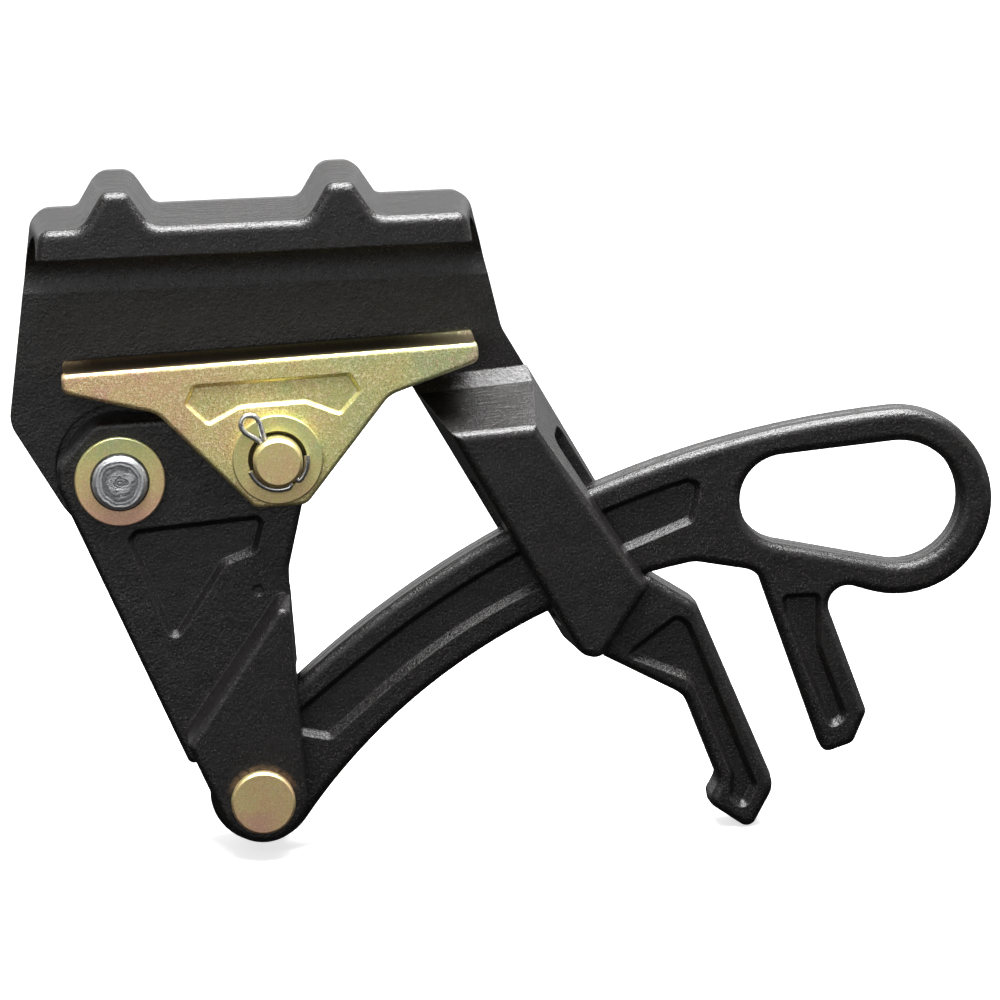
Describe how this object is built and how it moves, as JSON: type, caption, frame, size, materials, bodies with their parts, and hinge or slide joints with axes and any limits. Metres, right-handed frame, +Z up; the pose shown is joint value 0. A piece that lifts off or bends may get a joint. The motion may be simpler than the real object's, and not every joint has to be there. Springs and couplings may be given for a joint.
{
  "type": "parallel-jaw cable grip",
  "caption": "Parallel-jaw cable grip: forged body with upper jaw, lever, plated lower jaw and curved pull shank with an eye, clamping a cable harder as it is pulled.",
  "frame": {"origin": "on the axis of the cable seat, halfway along the upper jaw", "axes": "+X along the cable towards the pull, +Z up from the lower jaw to the upper jaw, the open side that the cable enters by facing -Y"},
  "size_m": [0.2757, 0.0493, 0.1944],
  "materials": {
    "black_paint_body": "semi-gloss black paint over a forged surface",
    "black_paint_lever": "semi-gloss black paint over a forged surface",
    "black_paint_shank": "semi-gloss black paint over a forged surface",
    "yellow_zinc_jaw": "yellow zinc dichromate with a fine cast grain",
    "yellow_zinc_hardware": "yellow zinc dichromate, satin",
    "dark_steel": "bare peened steel, dulled",
    "bright_steel": "bright drawn wire"
  },
  "bodies": {
    "grip_body": {"body_forging": "black_paint_body", "body_rivet": "dark_steel", "body_rivet_washer": "yellow_zinc_hardware"},
    "lever": {"lever": "black_paint_lever", "pull_pin": "yellow_zinc_hardware", "pull_pin_washer": "yellow_zinc_hardware"},
    "lower_jaw": {"lower_jaw": "yellow_zinc_jaw", "jaw_clevis_pin": "yellow_zinc_hardware", "jaw_pin_washer": "yellow_zinc_hardware", "cotter_pin": "bright_steel"},
    "pull_shank": {"pull_shank": "black_paint_shank"}
  },
  "joints": [
    {"name": "lever_swing", "type": "hinge", "parent": "grip_body", "child": "lever", "pos_m": [-0.04, 0, -0.055], "axis": [0, -1, 0], "range_deg": [0, 41.4]},
    {"name": "jaw_tilt", "type": "hinge", "parent": "lever", "child": "lower_jaw", "pos_m": [0.00399, 0, -0.04976], "axis": [0, -1, 0], "range_deg": [-44, 0]},
    {"name": "shank_swing", "type": "hinge", "parent": "lever", "child": "pull_shank", "pos_m": [-0.00436, 0, -0.14736], "axis": [0, -1, 0], "range_deg": [-46, 0]}
  ],
  "couplings": [
    {"joint": "jaw_tilt", "follows": "lever_swing", "ratio": -1.042},
    {"joint": "shank_swing", "follows": "lever_swing", "ratio": -1.09}
  ]
}
